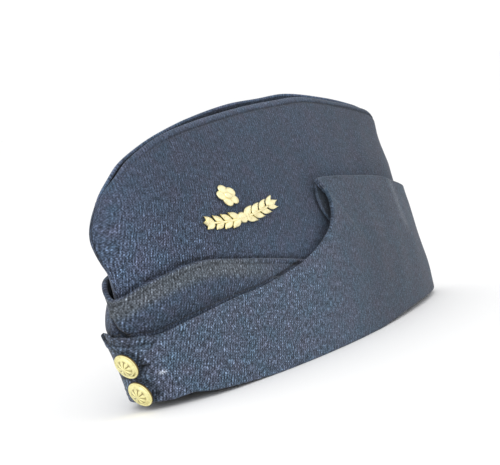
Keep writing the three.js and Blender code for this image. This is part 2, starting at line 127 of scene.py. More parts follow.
# One flap: where a line of cloth starts and where it meets the upper edge, the edge's height in
# flap heights, and how far it stands off the crown below and above, in curtain cloths
FLAP = table("at edge height low high", [
    (0, 0, 0.432, 1.6, 1.75), (0.03, 0.03, 0.431, 1.6, 1.75), (0.07, 0.07, 0.427, 1.6, 1.75),
    (0.114, 0.114, 0.418, 1.6, 1.75), (0.2, 0.2, 0.457, 1.6, 1.75), (0.3, 0.3, 0.496, 1.6, 1.75),
    (0.345, 0.345, 0.504, 1.6, 1.74), (0.388, 0.389, 0.5275, 1.6, 1.7),
    (0.445, 0.439, 0.5635, 1.6, 1.9), (0.5, 0.483, 0.6265, 1.55, 2.1),
    (0.55, 0.516, 0.701, 1.35, 2.3), (0.595, 0.533, 0.777, 1.15, 2.4),
    (0.633, 0.541, 0.859, 1, 2.4), (0.665, 0.541, 0.936, 0.87, 2.3), (0.69, 0.5325, 1, 0.8, 2.1),
    (0.73, 0.581, 0.985, 0.71, 1.75), (0.765, 0.631, 0.953, 0.65, 1.2),
    (0.805, 0.692, 0.916, 0.6, 1), (0.835, 0.736, 0.886, 0.62, 0.95),
    (0.88, 0.8, 0.824, 0.67, 0.95), (0.94, 0.9, 0.767, 0.78, 0.95), (1, 1, 0.747, 0.9, 1.1),
])

# The flap's upper edge runs rearward as far as this row, and then sweeps up and forward
LAST_REARWARD_ROW = 12

# Upper lip of the peak on each side, in peak heights
PEAK_LIP = table("at left right", [
    (0, 0.868, 0.868), (0.02, 0.874, 0.885), (0.05, 0.887, 0.93), (0.103, 0.93, 1),
    (0.175, 0.975, 1.025), (0.225, 1, 1.02), (0.27, 0.9955, 1), (0.328, 0.936, 0.936),
    (0.403, 0.847, 0.847), (0.464, 0.757, 0.757), (0.56, 0.62, 0.62),
])

# How far the peak stands off the crown between the flap's edge and its own lip, in peak cloths
PEAK_BULGE = table("at out", [(0, 0.1), (0.22, 0.9), (0.45, 1.35), (0.75, 1.1), (1, 0.45)])

# How far the peak's cloth swells past the middle of the front, down from its lip, in millimetres
PEAK_FULLNESS = table("at out", [
    (0, 0), (3, -0.2), (5, -1.2), (8, -2), (11, -2.3), (13, -1.7), (16, -0.7), (19, 0.6),
    (22, 1.9), (24, 2.7), (28, 3.2),
])

# Heights up the front seam and up the roll of the buttoned end's corner, and how far each lies
# to the left of the middle of the front there, in millimetres
FRONT_SEAM_LINE = (80, 86, 92, 97), (0.9, 2.2, 2.4, 1.6)
CORNER_LINE = (34.5, 40), (-2.6, -7.5)

# The same for the peak's front crease, at places down from the lip
PEAK_CREASE_LINE = (2, 6, 10, 16, 19, 23), (-0.2, -0.8, -1.2, -0.9, 0.2, 2.5)

# Heights up a flap's rear fold, and the turns where it lies there
REAR_FOLD_LINE = (40, 46, 54, 61, 70), (0.792, 0.781, 0.772, 0.77, 0.772)


def read(rows, column, place):
    """Smooth value of a table's column at places along its first column."""
    at, value = rows["at"], rows[column]
    last = len(at) - 1
    place = np.clip(np.asarray(place, float), at[0], at[-1])
    order = np.arange(last + 1)
    after = np.minimum(order + 1, last)
    before = np.maximum(order - 1, 0)
    slope = (value[after] - value[before]) / (at[after] - at[before])
    row = np.clip(np.searchsorted(at, place) - 1, 0, last - 1)
    step = at[row + 1] - at[row]
    t = (place - at[row]) / step
    back = 1 - t
    return (value[row] * (1 + 2 * t) * back ** 2 + value[row + 1] * (3 - 2 * t) * t ** 2
            + slope[row] * step * t * back ** 2 - slope[row + 1] * step * t ** 2 * back)


def smooth(x, low, high):
    """Rises evenly from 0 at low to 1 at high, or falls where low is the greater."""
    t = np.clip((np.asarray(x, float) - low) / (high - low), 0, 1)
    return t * t * (3 - 2 * t)


def lerp(a, b, t):
    return a + (b - a) * t


def bell(x, middle, width):
    """1 where x is at the middle, and next to nothing two widths away."""
    return np.exp(-((x - middle) / width) ** 2)


def unit(v):
    return v / np.maximum(np.linalg.norm(v, axis=-1, keepdims=True), 1e-9)


# Shape of the crown

def share(turn):
    """How far back along the crown a turn lies, from 0 at its front to 1 at its rear."""
    return (1 - np.cos(np.pi * turn)) / 2


def edge_lift(turn):
    """Height of the curtain's lower edge above the ground."""
    return np.maximum(read(LOWER_EDGE, "lift", share(turn)), 0) * RIDGE_HEIGHT


def crown_foot(turn):
    """Height of the crown's own lower edge, above the flap's fold."""
    return edge_lift(turn) + HEM_FOLD + CLEARANCE


def ridge_top(side, turn):
    lift = np.where(side < 0, read(RIDGE, "right", share(turn)), read(RIDGE, "left", share(turn)))
    return (read(RIDGE, "rise", share(turn)) + lift) * RIDGE_HEIGHT


def half_width(turn, rise):
    """Half of the crown's width: it narrows from the foot to the ridge and is fuller in front."""
    across = np.sin(np.pi * turn)
    fullness = 1 + FRONT_FULLNESS * np.cos(np.pi * turn)
    narrowing = (1 - np.clip(rise, 0, 1) ** NARROWING_POWER) ** NARROWING_ROOT
    return (CROWN_WIDTH / 2 * narrowing * fullness * across ** END_POINT
            + RIDGE_SPREAD / 2 * np.maximum(rise, 0) * across ** RIDGE_POINT)


def on_crown(side, turn, rise):
    """Places on the crown's face. A turn below 0 or over 1 carries on round the other side."""
    side, turn, rise = np.broadcast_arrays(np.asarray(side, float), turn, rise)
    near = np.where((turn < 0) | (turn > 1), -side, side)
    way = np.where(turn < 0, -turn, np.where(turn > 1, 2 - turn, turn))
    front = read(END_SEAMS, "front", rise) * CROWN_LENGTH
    rear = read(END_SEAMS, "rear", rise) * CROWN_LENGTH
    return np.stack([
        near * (CLEARANCE / 2 + half_width(way, rise)),
        lerp(front, rear, share(way)),
        lerp(crown_foot(way), ridge_top(near, way), rise),
    ], axis=-1)


def crown_facing(side, turn, rise):
    """The crown's outward directions."""
    step = 0.004
    along = on_crown(side, turn + step, rise) - on_crown(side, turn - step, rise)
    up = on_crown(side, turn, np.minimum(rise + step, 1)) - on_crown(side, turn, rise - step)
    return unit(np.cross(along, up) * np.sign(np.asarray(side))[..., None])


def rise_at(side, turn, height):
    """How far up the crown a height is, from 0 at its foot to 1 at its ridge."""
    way = np.abs(turn)
    near = np.where(turn < 0, -side, side)
    return (height - crown_foot(way)) / (ridge_top(near, way) - crown_foot(way))


def around(side, turn, height, off):
    """Places at a height above the ground, standing off the crown's face on the level.

    A turn below 0 is on the other side, past the middle of the front.
    """
    side, turn, height, off = np.broadcast_arrays(float(side), turn, height, off)
    way = np.abs(turn)
    near = np.where(turn < 0, -side, side)
    rise = rise_at(side, turn, height)
    facing = crown_facing(near, way, rise)
    facing[..., 2] = 0
    place = on_crown(near, way, rise) + unit(facing) * off[..., None]
    place[..., 2] = height
    return place


def stood_off(side, turn, height, off):
    """Places that stand off the crown, and which way is out from each of them."""
    places = around(side, turn, height, off)
    return places, around(side, turn, height, off + 1) - places


def stand_off(at, up):
    """How far a flap's inner face stands off the crown."""
    return lerp(read(FLAP, "low", at), read(FLAP, "high", at), up ** 2) * CURTAIN_CLOTH


def reach_turn(length):
    """The turn at which the crown is this far round from the middle of its front."""
    return (length / (CROWN_WIDTH / 2)) ** (1 / END_POINT) / np.pi


# Making meshes

def edged(count, length, radius, fine=5):
    """Shares from 0 to 1 that crowd within a radius of both ends, for a rounded rim."""
    rim = radius * (1 - np.cos(np.linspace(0, np.pi / 2, fine + 1))) / length
    middle = np.linspace(rim[-1], 1 - rim[-1], count + 1)[1:-1]
    return np.concatenate([rim, middle, 1 - rim[::-1]])


def run_along(grid, axis):
    """Length along a grid's lines from their start, in millimetres."""
    step = np.linalg.norm(np.diff(grid, axis=axis), axis=-1)
    start = np.zeros_like(np.take(step, [0], axis=axis))
    return np.concatenate([start, np.cumsum(step, axis=axis)], axis=axis)


def facing_of(grid, outward):
    """Unit normals of a grid of places, turned to the side that outward points to."""
    normal = unit(np.cross(np.gradient(grid, axis=0), np.gradient(grid, axis=1)))
    return normal * np.sign(np.sum(normal * outward, axis=-1, keepdims=True))


# The wool's upright threads lean back by this many degrees
GRAIN_LEAN = 16


def level_length(turn):
    """Length round the crown from the middle of its front, less than 0 on the other side."""
    turns = np.linspace(0, 1, 400)
    lengths = run_along(on_crown(1, turns, 0.3), 0)
    return np.sign(turn) * np.interp(np.abs(turn), turns, lengths)


def weave(turn, height):
    """Where each place lies along and across the wool's threads, in millimetres."""
    turn, up = np.broadcast_arrays(turn, np.asarray(height, float))
    way = np.abs(turn)
    rise = np.clip(rise_at(1, way, up), 0, 1)
    behind = on_crown(1, way, rise)[..., 1] - on_crown(1, way, 0.3)[..., 1]
    along = np.sign(turn) * (level_length(way) + behind * smooth(way, 0, 0.2))
    cos, sin = math.cos(math.radians(GRAIN_LEAN)), math.sin(math.radians(GRAIN_LEAN))
    return np.stack([along * cos - up * sin, along * sin + up * cos], -1)


def new_object(name, places, faces, uv=None):
    """A smooth object from places in millimetres, with uv for its threads if it has any."""
    mesh = bpy.data.meshes.new(name)
    places = (np.asarray(places, float) - ORIGIN) * MM
    mesh.from_pydata(places.tolist(), [], [list(map(int, face)) for face in faces])
    mesh.validate()
    if uv is not None:
        layer = mesh.uv_layers.new(name="UVMap")
        loops = np.zeros(len(mesh.loops), int)
        mesh.loops.foreach_get("vertex_index", loops)
        layer.data.foreach_set("uv", np.asarray(uv, np.float32)[loops].ravel())
    mesh.polygons.foreach_set("use_smooth", [True] * len(mesh.polygons))
    mesh.update()
    obj = bpy.data.objects.new(name, mesh)
    bpy.context.scene.collection.objects.link(obj)
    return obj


def mark(obj, name, values):
    """Stores a value for each vertex, which the materials read."""
    layer = obj.data.attributes.new(name, "FLOAT", "POINT")
    layer.data.foreach_set("value", np.asarray(values, np.float32).ravel())


def sheet(name, middle, outward, thickness, threads=None, relief=0, **marks):
    """Cloth with rounded rims about a grid of places. relief raises its outer face."""
    columns, rows = middle.shape[:2]
    normal = facing_of(middle, outward)
    along = run_along(middle, 0)
    up = run_along(middle, 1)
    to_rim = np.minimum(np.minimum(along, along[-1:] - along), np.minimum(up, up[:, -1:] - up))
    half = np.broadcast_to(np.asarray(thickness, float) / 2, to_rim.shape)
    bend = np.sqrt(np.clip(1 - (1 - np.clip(to_rim / half, 0, 1)) ** 2, 0, 1))
    outer = middle + normal * (half * bend + relief * bend)[..., None]
    inner = middle - normal * (half * bend)[..., None]

    count = columns * rows
    outer_index = np.arange(count).reshape(columns, rows)
    inside = np.zeros((columns, rows), bool)
    inside[1:-1, 1:-1] = True
    inner_index = outer_index.copy()
    inner_index[inside] = count + np.arange(inside.sum())
    places = np.concatenate([outer.reshape(-1, 3), inner[inside]])

    def quads(index):
        return np.stack([index[:-1, :-1], index[1:, :-1], index[1:, 1:], index[:-1, 1:]], -1)

    outer_faces = quads(outer_index).reshape(-1, 4)
    inner_faces = quads(inner_index).reshape(-1, 4)[:, ::-1]
    i, j = columns // 2, rows // 2
    winding = np.cross(middle[i + 1, j] - middle[i, j], middle[i, j + 1] - middle[i, j])
    if np.dot(winding, normal[i, j]) < 0:
        outer_faces, inner_faces = outer_faces[:, ::-1], inner_faces[:, ::-1]
    faces = np.concatenate([outer_faces, inner_faces])
    threads = np.stack([along, up], -1) if threads is None else threads
    spread = threads.reshape(-1, 2)
    uv = np.concatenate([spread, spread[inside.ravel()]])
    obj = new_object(name, places, faces, uv)
    for label, value in marks.items():
        value = np.broadcast_to(value, (columns, rows)).ravel()
        mark(obj, label, np.concatenate([value, value[inside.ravel()]]))
    return obj


def waves(x, y, seed):
    """Gentle unevenness between about -1 and 1, from a few crossing waves."""
    rng = np.random.default_rng(seed)
    total = 0
    for length in (95, 62, 41, 27):
        heading = rng.uniform(0, np.pi)
        phase = rng.uniform(0, 2 * np.pi)
        run = x * np.cos(heading) + y * np.sin(heading)
        total = total + np.sin(2 * np.pi * run / length + phase)
    return total / 3


# Materials

def material(name, colour, roughness, metallic=0.0):
    made = bpy.data.materials.new(name)
    made.use_nodes = True
    shader = made.node_tree.nodes["Principled BSDF"]
    shader.inputs["Base Color"].default_value = (*colour, 1)
    shader.inputs["Roughness"].default_value = roughness
    shader.inputs["Metallic"].default_value = metallic
    return made


class Nodes:
    """Short calls for building a material's node tree."""

    def __init__(self, made):
        self.tree = made.node_tree
        self.shader = self.tree.nodes["Principled BSDF"]

    def add(self, kind, **settings):
        node = self.tree.nodes.new(kind)
        for key, value in settings.items():
            setattr(node, key, value)
        return node

    def feed(self, socket, value):
        if isinstance(value, bpy.types.NodeSocket):
            self.tree.links.new(value, socket)
        else:
            socket.default_value = value

    def math(self, operation, *values):
        node = self.add("ShaderNodeMath", operation=operation)
        for socket, value in zip(node.inputs, values):
            self.feed(socket, value)
        return node.outputs[0]

    def attribute(self, name):
        return self.add("ShaderNodeAttribute", attribute_name=name).outputs["Fac"]

    def noise(self, vector, scale, detail=2.0, roughness=0.5):
        node = self.add("ShaderNodeTexNoise")
        self.feed(node.inputs["Vector"], vector)
        node.inputs["Scale"].default_value = scale
        node.inputs["Detail"].default_value = detail
        node.inputs["Roughness"].default_value = roughness
        return node.outputs["Fac"]

    def uneven(self, vector, scale):
        """Noise that swings evenly about 0."""
        swing = self.math("SUBTRACT", self.noise(vector, scale), 0.5)
        return self.math("MULTIPLY", swing, 7.0)

    def stretched(self, vector, *factors):
        node = self.add("ShaderNodeVectorMath", operation="MULTIPLY")
        self.feed(node.inputs[0], vector)
        node.inputs[1].default_value = factors
        return node.outputs[0]

    def total(self, *terms):
        """Sum of values, each times its weight."""
        value, weight = terms[0]
        result = self.math("MULTIPLY", value, weight)
        for value, weight in terms[1:]:
            result = self.math("MULTIPLY_ADD", value, weight, result)
        return result

    def mix(self, factor, a, b):
        node = self.add("ShaderNodeMix", data_type="RGBA")
        self.feed(node.inputs["Factor"], factor)
        self.feed(node.inputs["A"], a)
        self.feed(node.inputs["B"], b)
        return node.outputs["Result"]

    def spread(self, value, low, high, to_low=0.0, to_high=1.0):
        node = self.add("ShaderNodeMapRange")
        for socket, number in zip(node.inputs, (value, low, high, to_low, to_high)):
            self.feed(socket, number)
        return node.outputs[0]


def tinted(colour, red, green, blue):
    return (colour[0] * red, colour[1] * green, colour[2] * blue, 1)


# The wool's threads, in millimetres, and the shares of its surface that are threads along it,
# threads crossing, streaks, pebbles and fuzz
THREAD_PITCH = 1.5
ALONG_SHARE, CROSS_SHARE, STREAK_SHARE, PEBBLE_SHARE, FUZZ_SHARE = 0.3, 0.35, 0.55, 0.55, 0.2


def wool(name, colour, worn_colour):
    """Pebbly wool. Its marks say where it is worn, where it is darker or lighter (mostly painted shade
    and painted light), and where its weave shows plainly.
    """
    waves_per_mm = 2 * math.pi / THREAD_PITCH
    made = material(name, colour, 0.92)
    n = Nodes(made)
    n.shader.inputs["Sheen Weight"].default_value = 0.12
    n.shader.inputs["Sheen Roughness"].default_value = 0.5
    n.shader.inputs["Specular IOR Level"].default_value = 0.25
    threads = n.add("ShaderNodeUVMap", uv_map="UVMap").outputs[0]
    place = n.add("ShaderNodeTexCoord").outputs["Object"]
    split = n.add("ShaderNodeSeparateXYZ")
    n.feed(split.inputs[0], threads)
    drift = n.math("MULTIPLY", n.noise(threads, 0.3), 5.0)
    warp = n.math("SINE", n.math("MULTIPLY_ADD", split.outputs[0], waves_per_mm, drift))
    weft = n.math("SINE", n.math("MULTIPLY_ADD", split.outputs[1], waves_per_mm, drift))
    streaks = n.uneven(n.stretched(threads, 1.0, 0.3, 1.0), 1.15)
    pebbles = n.uneven(threads, 1.15)
    fuzz = n.uneven(place, 1400)
    crossing = n.math("MULTIPLY", warp, weft)
    surface = n.total((warp, ALONG_SHARE), (crossing, CROSS_SHARE), (streaks, STREAK_SHARE),
                      (pebbles, PEBBLE_SHARE), (fuzz, FUZZ_SHARE))
    plain = n.spread(n.attribute("coarse"), 0, 1, 0.55, 1.0)
    patches = n.uneven(place, 40)
    shade = n.total((n.math("MULTIPLY", surface, plain), 1.6), (patches, 0.06))
    tone = n.math("MULTIPLY", n.math("POWER", 2.0, shade),
                  n.math("SUBTRACT", 1.0, n.attribute("dark")))
    hue = n.spread(n.noise(place, 110), 0.3, 0.7)
    fresh = n.mix(hue, tinted(colour, 0.88, 1.03, 1.03), tinted(colour, 1.12, 0.98, 0.98))
    base = n.mix(n.attribute("worn"), fresh, (*worn_colour, 1))
    scaled = n.add("ShaderNodeVectorMath", operation="SCALE")
    n.feed(scaled.inputs[0], base)
    n.feed(scaled.inputs["Scale"], tone)
    n.feed(n.shader.inputs["Base Color"], scaled.outputs[0])
    bump = n.add("ShaderNodeBump")
    bump.inputs["Strength"].default_value = 0.35
    bump.inputs["Distance"].default_value = 0.2 * MM
    n.feed(bump.inputs["Height"], surface)
    n.feed(n.shader.inputs["Normal"], bump.outputs[0])
    return made


# Colour of the gilt's dirty hollows and grimy spots, also painted on a button's side and back as shade
GRIME_AND_SHADE = (0.16, 0.10, 0.03)


def gilt(name, colour, roughness):
    """Gilt metal with duller hollows, and painted shade on a button's side and back."""
    made = material(name, colour, roughness, 1.0)
    n = Nodes(made)
    place = n.add("ShaderNodeTexCoord").outputs["Object"]
    grime = n.spread(n.noise(place, 420, 3.0, 0.6), 0.42, 0.7)
    grime_and_shade_amount = n.math("MAXIMUM", n.math("MULTIPLY", grime, 0.25), n.attribute("grime_and_side_shade"))
    n.feed(n.shader.inputs["Base Color"], n.mix(grime_and_shade_amount, (*colour, 1), (*GRIME_AND_SHADE, 1)))
    n.feed(n.shader.inputs["Roughness"], n.spread(grime, 0, 1, roughness, roughness + 0.2))
    return made


def dress(obj, finish, slot_name, *nodes):
    """Gives a piece its finish and its place on the part, and hides the solids that it stands for."""
    obj.data.materials.clear()
    obj.data.materials.append(finish)
    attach(obj, "root")
    if nodes:
        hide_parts(*nodes)
    return obj


# The crown

# The stitches' distance below the ridge, and their own sizes
STITCH_LINE = 4.6
STITCH_LENGTH = 2.1
STITCH_PITCH = 2.9
STITCH_WIDTH = 0.5
STITCH_SINK = 0.25

# The panels are sewn together in the looks: each end comes this much past the solids' gap
SEWN_OVER = CLEARANCE / 2 + 0.05


def pale_and_lit_ridge(side, turns, below_ridge):
    """Paleness along a ridge's edge. On the right it is painted light, even all along, for the face
    there lies in shade below the near ridge; on the left it is most plain midway.
    """
    if side < 0:
        return 0.8 * bell(below_ridge, 0, 2)
    midway = smooth(turns, 0.15, 0.4) * smooth(turns, 0.7, 0.55)
    return (0.15 + 0.3 * midway) * bell(below_ridge, 0, 3.2)


def front_seam(turns, height):
    """Painted shade along the front seam's line, where it swings to the left above the peak."""
    seam_at = np.interp(height, *FRONT_SEAM_LINE)
    return bell(level_length(turns), seam_at, 0.7) * smooth(height, 74, 79)


def shade_above_peak(side, turns, height):
    """Darkness of the crown where it goes in behind the peak's lip."""
    above_lip = height - peak_lip(side * turns)
    shade = 0.35 * bell(above_lip, 1.2, 1.3) + 0.35 * bell(above_lip, 0.7, 0.6)
    return shade * smooth(turns, PEAK_REACH, PEAK_REACH - 0.1)


def crown_panel(side, name):
    """One side panel, with a row of stitches pressed in below its ridge."""
    turns = edged(210, CROWN_LENGTH, CROWN_CLOTH / 2)[:, None]
    crowding = 1.8
    rises = 1 - (1 - edged(134, RIDGE_HEIGHT, CROWN_CLOTH / 2)[None, :]) ** crowding
    face = on_crown(side, turns, rises)
    facing = crown_facing(side, turns, rises)
    middle = face - facing * CROWN_CLOTH / 2
    middle[..., 0] = side * (np.maximum(side * middle[..., 0], CLEARANCE / 2) - SEWN_OVER)
    height = face[..., 2]
    up = run_along(face, 1)
    below_ridge = up[:, -1:] - up
    pressed = bell(below_ridge, STITCH_LINE, 0.7) * (0.25 + 0.75 * smooth(turns, 0.15, 0.4))
    puff = bell(below_ridge, STITCH_LINE / 2, 1.3)
    sag = waves(run_along(face, 0), up, 3 + side)
    sag = sag * smooth(below_ridge, 4, 25) * smooth(up, 5, 40)
    upper_shade = smooth(turns, 0.12, 0.3) * smooth(rises, 0.35, 0.6)
    rear_shade = smooth(turns, 0.55, 0.8)
    # Painted shade over the upper crown, towards the rear, in the pressed stitch line, along the front
    # seam and above the peak's lip, less the ridge's paleness.
    dark = (0.24 * upper_shade + 0.14 * rear_shade + 0.45 * pressed
            + 0.8 * front_seam(turns, height) + shade_above_peak(side, turns, height)
            - pale_and_lit_ridge(side, turns, below_ridge))
    coarse = smooth(turns, 0.5, 0.2) * smooth(rises, 0.95, 0.6)
    relief = 0.25 * puff + 0.35 * sag - 0.45 * pressed
    return sheet(name, middle, facing, CROWN_CLOTH, weave(turns, height), relief,
                 dark=dark, coarse=coarse)


def sewn_edge(side, turns):
    """Where the strip between the ridges is sewn to a panel."""
    rise = 1 - GUSSET_SEAT / RIDGE_HEIGHT
    return on_crown(side, turns, rise) - crown_facing(side, turns, rise) * (CROWN_CLOTH + 2 * CLEARANCE)


def gusset():
    """The strip that closes the top, folded down between the ridges as far as they part."""
    start = np.arcsin(((CROWN_CLOTH + CLEARANCE) / (RIDGE_SPREAD / 2)) ** (1 / RIDGE_POINT)) / np.pi
    end = 1 - start
    turns = np.linspace(start, end, 160)[:, None]
    across = np.linspace(-1, 1, 25)[None, :]
    left, right = sewn_edge(1, turns), sewn_edge(-1, turns)
    edge = np.where((across < 0)[..., None], right, left)
    level = lerp((left[..., 2] + right[..., 2]) / 2, edge[..., 2], np.abs(across))
    fade = np.sin(np.pi * np.clip((turns - start) / (end - start), 0, 1)) ** 0.5
    sink = GUSSET_DEPTH * fade * (1 - np.abs(across) ** 1.5) + GUSSET_CLOTH / 2
    middle = np.stack([across * np.abs(edge[..., 0]), edge[..., 1], level - sink], -1)
    # The whole strip is painted a little darker, as shade where it lies down between the ridges.
    return sheet("gusset_cloth", middle, np.array([0, 0, 1.0]), GUSSET_CLOTH, dark=0.2)


def thread_row(name, path, facing, length, pitch, width):
    """A row of stitches laid along a path of places."""
    run = run_along(path, 0)
    centres = np.arange(pitch, run[-1] - pitch, pitch)

    def at(values, where):
        return np.stack([np.interp(where, run, values[:, k]) for k in range(3)], -1)

    place = at(path, centres)
    along = unit(at(path, centres + 0.3) - at(path, centres - 0.3))
    out = unit(at(facing, centres))
    across = unit(np.cross(along, out))
    reach = np.array([-1, -0.8, -0.35, 0.35, 0.8, 1]) * length / 2
    plump = np.array([0.05, 0.7, 1, 1, 0.7, 0.05]) * width / 2
    corners = 6
    ring = np.linspace(0, 2 * np.pi, corners, endpoint=False)
    local = np.array([(x, r * math.cos(a), r * math.sin(a)) for x, r in zip(reach, plump) for a in ring])
    places = (place[:, None] + along[:, None] * local[None, :, :1]
              + across[:, None] * local[None, :, 1:2] + out[:, None] * local[None, :, 2:])
    index = np.arange(len(local)).reshape(len(reach), corners)
    nxt = np.roll(index, -1, 1)
    quads = np.stack([index[:-1], index[1:], nxt[1:], nxt[:-1]], -1).reshape(-1, 4)
    starts = len(local) * np.arange(len(centres))[:, None, None]
    faces = (quads[None] + starts).reshape(-1, 4)
    return new_object(name, places.reshape(-1, 3), faces)


def ridge_stitches(side, name):
    """Stitches that hold the ridge's turned edge."""
    turns = np.linspace(0.01, 0.99, 400)
    rise = 1 - STITCH_LINE / RIDGE_HEIGHT
    facing = crown_facing(side, turns, rise)
    path = on_crown(side, turns, rise) - facing * STITCH_SINK
    return thread_row(name, path, facing, STITCH_LENGTH, STITCH_PITCH, STITCH_WIDTH)


# The peak

def peak_lip(turns):
    """Height of the peak's lip. A turn below 0 is on the right side."""
    way = np.abs(turns)
    return np.where(turns < 0, read(PEAK_LIP, "right", way), read(PEAK_LIP, "left", way)) * PEAK_HEIGHT


def peak_grid(turns, ups):
    """Places on the peak's middle: ups run from its foot to the flap's edge at 0, to its lip at 1."""
    way = np.abs(turns)
    lip = peak_lip(turns)
    flap_top = read(FLAP, "height", way) * FLAP_HEIGHT + HEM_FOLD
    full_show = 20
    shows = smooth(lip - flap_top, 0, full_show)
    start = np.minimum(flap_top, lip - full_show / 2)
    foot = crown_foot(way) + PEAK_FOOT_RISE
    height = np.where(ups < 0, lerp(foot, start, 1 + ups), lerp(start, lip, ups))
    bulge = shows * smooth(ups, -0.35, 0) * read(PEAK_BULGE, "out", ups) * PEAK_CLOTH
    return height, bulge


def front_crease(from_front, below_lip):
    """The crease down the front of the peak, wider and deeper lower down."""
    width = 0.8 + 0.8 * smooth(below_lip, 10, 20)
    depth = 0.3 + 0.7 * smooth(below_lip, 8, 11)
    crease = bell(from_front, np.interp(below_lip, *PEAK_CREASE_LINE), width)
    return crease * smooth(below_lip, 1, 4) * depth


def shade_above_flap(turns, height):
    """The dark line where the peak goes in behind the flap."""
    rows = slice(0, LAST_REARWARD_ROW + 1)
    flap_edge = np.interp(np.abs(turns), FLAP["edge"][rows], FLAP["height"][rows]) * FLAP_HEIGHT
    above_edge = 0.6 + 0.6 * smooth(peak_lip(turns) - flap_edge, 4, 12)
    return 0.7 * bell(height, flap_edge + above_edge, 0.75)


def peak():
    """The turned-up peak, with a welt along its lip and a crease down its front."""
    turns = np.linspace(-PEAK_REACH, PEAK_REACH, 240)[:, None]
    ups = np.concatenate([np.linspace(-1, 0, 22)[:-1], edged(60, 50, PEAK_CLOTH)])[None, :]
    height, bulge = peak_grid(turns, ups)
    middle, outward = stood_off(1, turns, height, CLEARANCE + bulge + PEAK_CLOTH / 2)
    up = run_along(middle, 1)
    below_lip = up[:, -1:] - up
    welt = bell(below_lip, 1.4, 0.9)
    neck = bell(below_lip, 3.3, 0.7)
    sag = waves(run_along(middle, 0), up, 11) * smooth(below_lip, 3, 14)
    from_front = level_length(turns)
    crease = front_crease(from_front, below_lip)
    right_front = smooth(-from_front, 0.5, 5) * smooth(-from_front, 34, 14) * smooth(ups, -0.12, 0)
    fullness = right_front * read(PEAK_FULLNESS, "out", below_lip)
    relief = 0.45 * welt - 0.45 * neck + 0.3 * sag + fullness - 1.4 * crease
    worn = smooth(below_lip, 13, 7) * smooth(below_lip, 0.3, 2) * smooth(np.abs(turns), 0.42, 0.3)
    low_shade = np.maximum(shade_above_flap(turns, height), 0.18 * smooth(below_lip, 12, 24))
    # Painted shade: in the groove below the welt, in the front crease, in the line above the flap's edge
    # and towards the foot.
    dark = 0.3 * neck + 0.8 * crease + low_shade * (1 - crease)
    return sheet("peak_cloth", middle, outward, PEAK_CLOTH, weave(turns, height), relief,
                 worn=0.7 * worn, dark=dark, coarse=0.6)


# The curtain

def rear_fold(line, height):
    """The worn fold near the rear of a flap."""
    return bell(line, np.interp(height, *REAR_FOLD_LINE), 0.011) * smooth(height, 40, 50)


def no_marks(along, height, below_top):
    return 0 * height, 0 * height, 0 * height


def rolled_corner(along, height):
    """Where the buttoned end's upper corner rolls over, and the line where the roll starts."""
    line_at = np.interp(height, *CORNER_LINE)
    corner = smooth(height, 33.5, 35.5)
    return smooth(line_at - along, 0, 0.8) * corner, bell(along, line_at, 0.8) * corner


def slit_marks(ahead, level):
    """A button's slit and the sewn rim round it."""
    slit = bell(level, 0, 0.55) * smooth(ahead, 0, 1)
    slit = slit * smooth(ahead, SLIT_LENGTH, SLIT_LENGTH - 1)
    rim = bell(np.abs(level), 1.4, 0.6) * smooth(ahead, SLIT_LENGTH + 1, SLIT_LENGTH - 1)
    return slit, rim


def button_shade(ahead, level):
    """The painted shadow in a ring that a drooping button casts on the cloth behind it."""
    from_rim = np.hypot(ahead + 3.8, level - 0.4) - BUTTON_DIAMETER / 2
    return bell(from_rim, 0.5, 0.8)


def tab_marks(along, height, below_top):
    """Relief, wear and darkness of the buttoned end: its turned top, its corner and its slits. The
    darkness is mostly painted shade, with painted shadows round the buttons.
    """
    inside = smooth(along, 15, 10)
    turned_top = 4.4 * inside
    above = smooth(below_top, turned_top + 0.4, turned_top - 0.4) * inside
    crease = bell(below_top, turned_top, 0.6) * inside
    notch = bell(along, 11.3, 0.9) * bell(below_top, 0, 1.2)
    rolled, roll_line = rolled_corner(along, height)
    flat = 1 - rolled
    relief = 0.5 * rolled - 0.8 * above * flat - 0.3 * crease - 0.8 * notch - 0.8 * roll_line
    # Painted shade over the sunk turned top, in its crease, in the notch and along the roll line.
    dark = 0.2 * above + 0.5 * crease * flat + 0.75 * notch + 0.8 * roll_line
    for (_, turn, button_height), shows in zip(BUTTONS, SLIT_SHOWS):
        ahead = along - level_length(turn)
        level = height - button_height
        slit, rim = slit_marks(ahead, level + SLIT_DROP)
        relief = relief - 0.9 * shows * slit + 0.25 * rim
        # Painted shade in the slits, and a painted shadow ring round each button.
        dark = dark + 0.8 * shows * slit + 0.12 * rim + 0.5 * button_shade(ahead, level)
    lint = bell(along, 9.6, 1.2) * bell(height, 19, 0.8)
    return relief, lint, np.minimum(dark, 0.9) - 1.2 * lint


